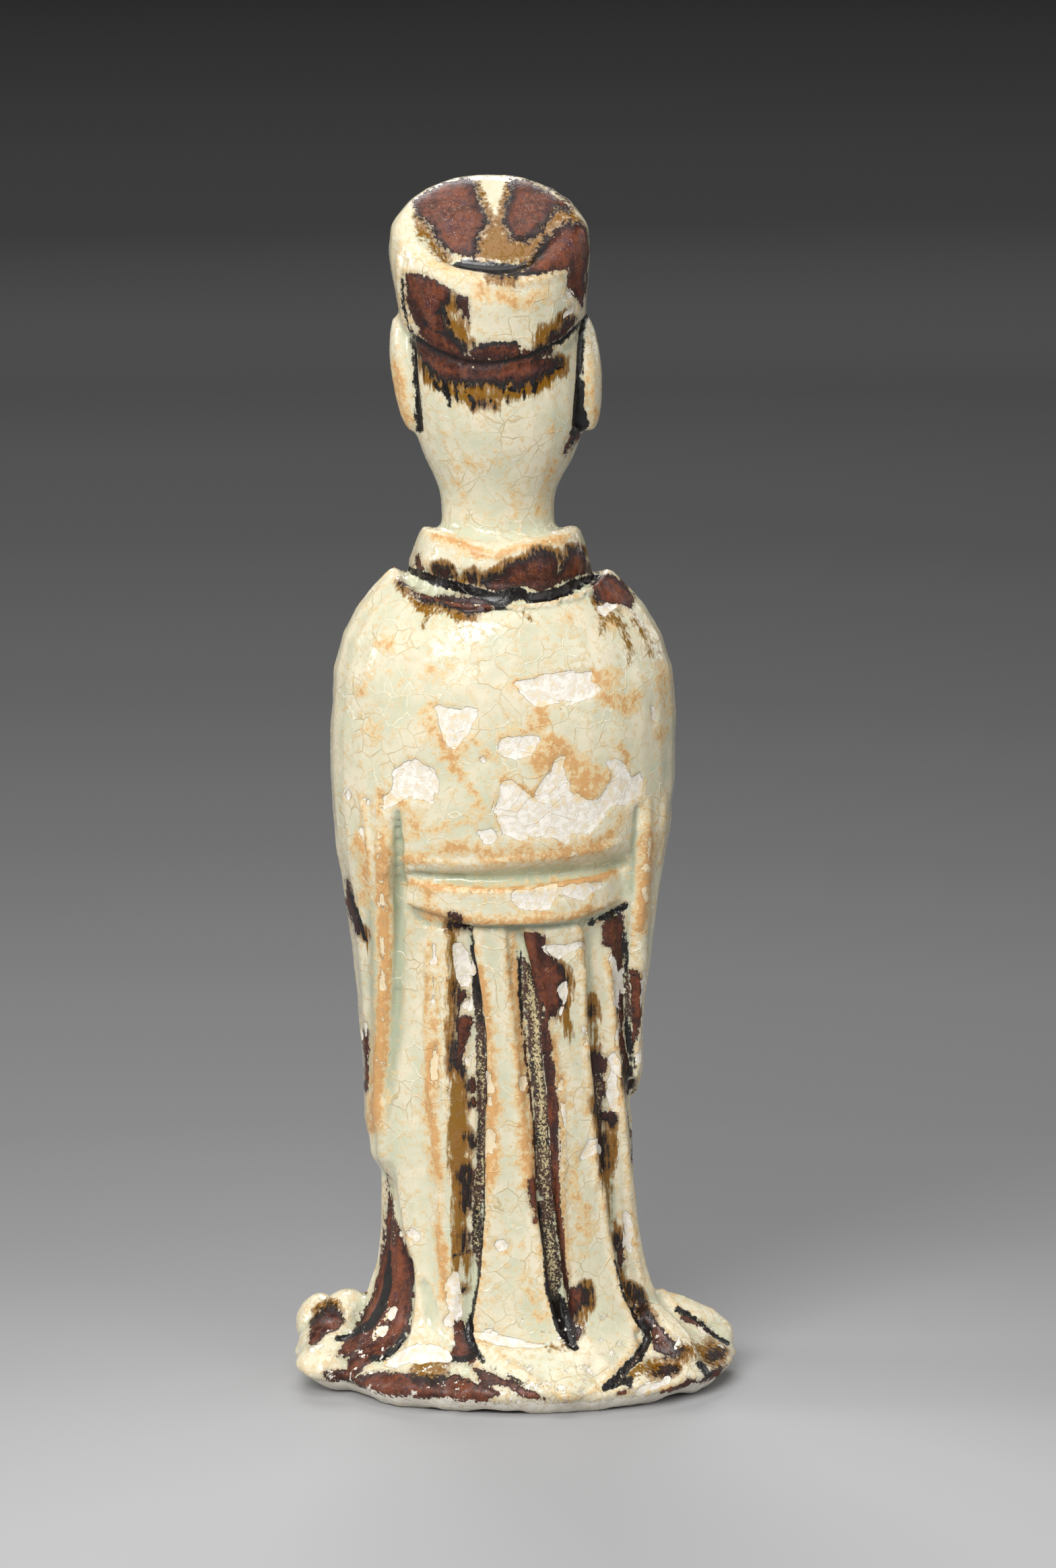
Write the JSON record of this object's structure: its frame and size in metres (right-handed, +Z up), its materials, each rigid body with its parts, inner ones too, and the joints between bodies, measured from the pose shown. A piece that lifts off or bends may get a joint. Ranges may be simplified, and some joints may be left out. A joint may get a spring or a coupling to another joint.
{
  "type": "zodiac ram figure",
  "caption": "Standing glazed stoneware official in a long robe, belt, wide sleeves and soft cap, holding a small ram, on a flared hem that forms the base",
  "frame": {"origin": "middle of the flat underside, on the surface the figure stands on", "axes": "+Z up; the figure faces -Y; its left side is towards +X"},
  "size_m": [0.0788, 0.0568, 0.2099],
  "materials": {
    "glazed_stoneware": "glossy"
  },
  "bodies": {
    "root": {"zodiac_figure": "glazed_stoneware"}
  },
  "joints": []
}
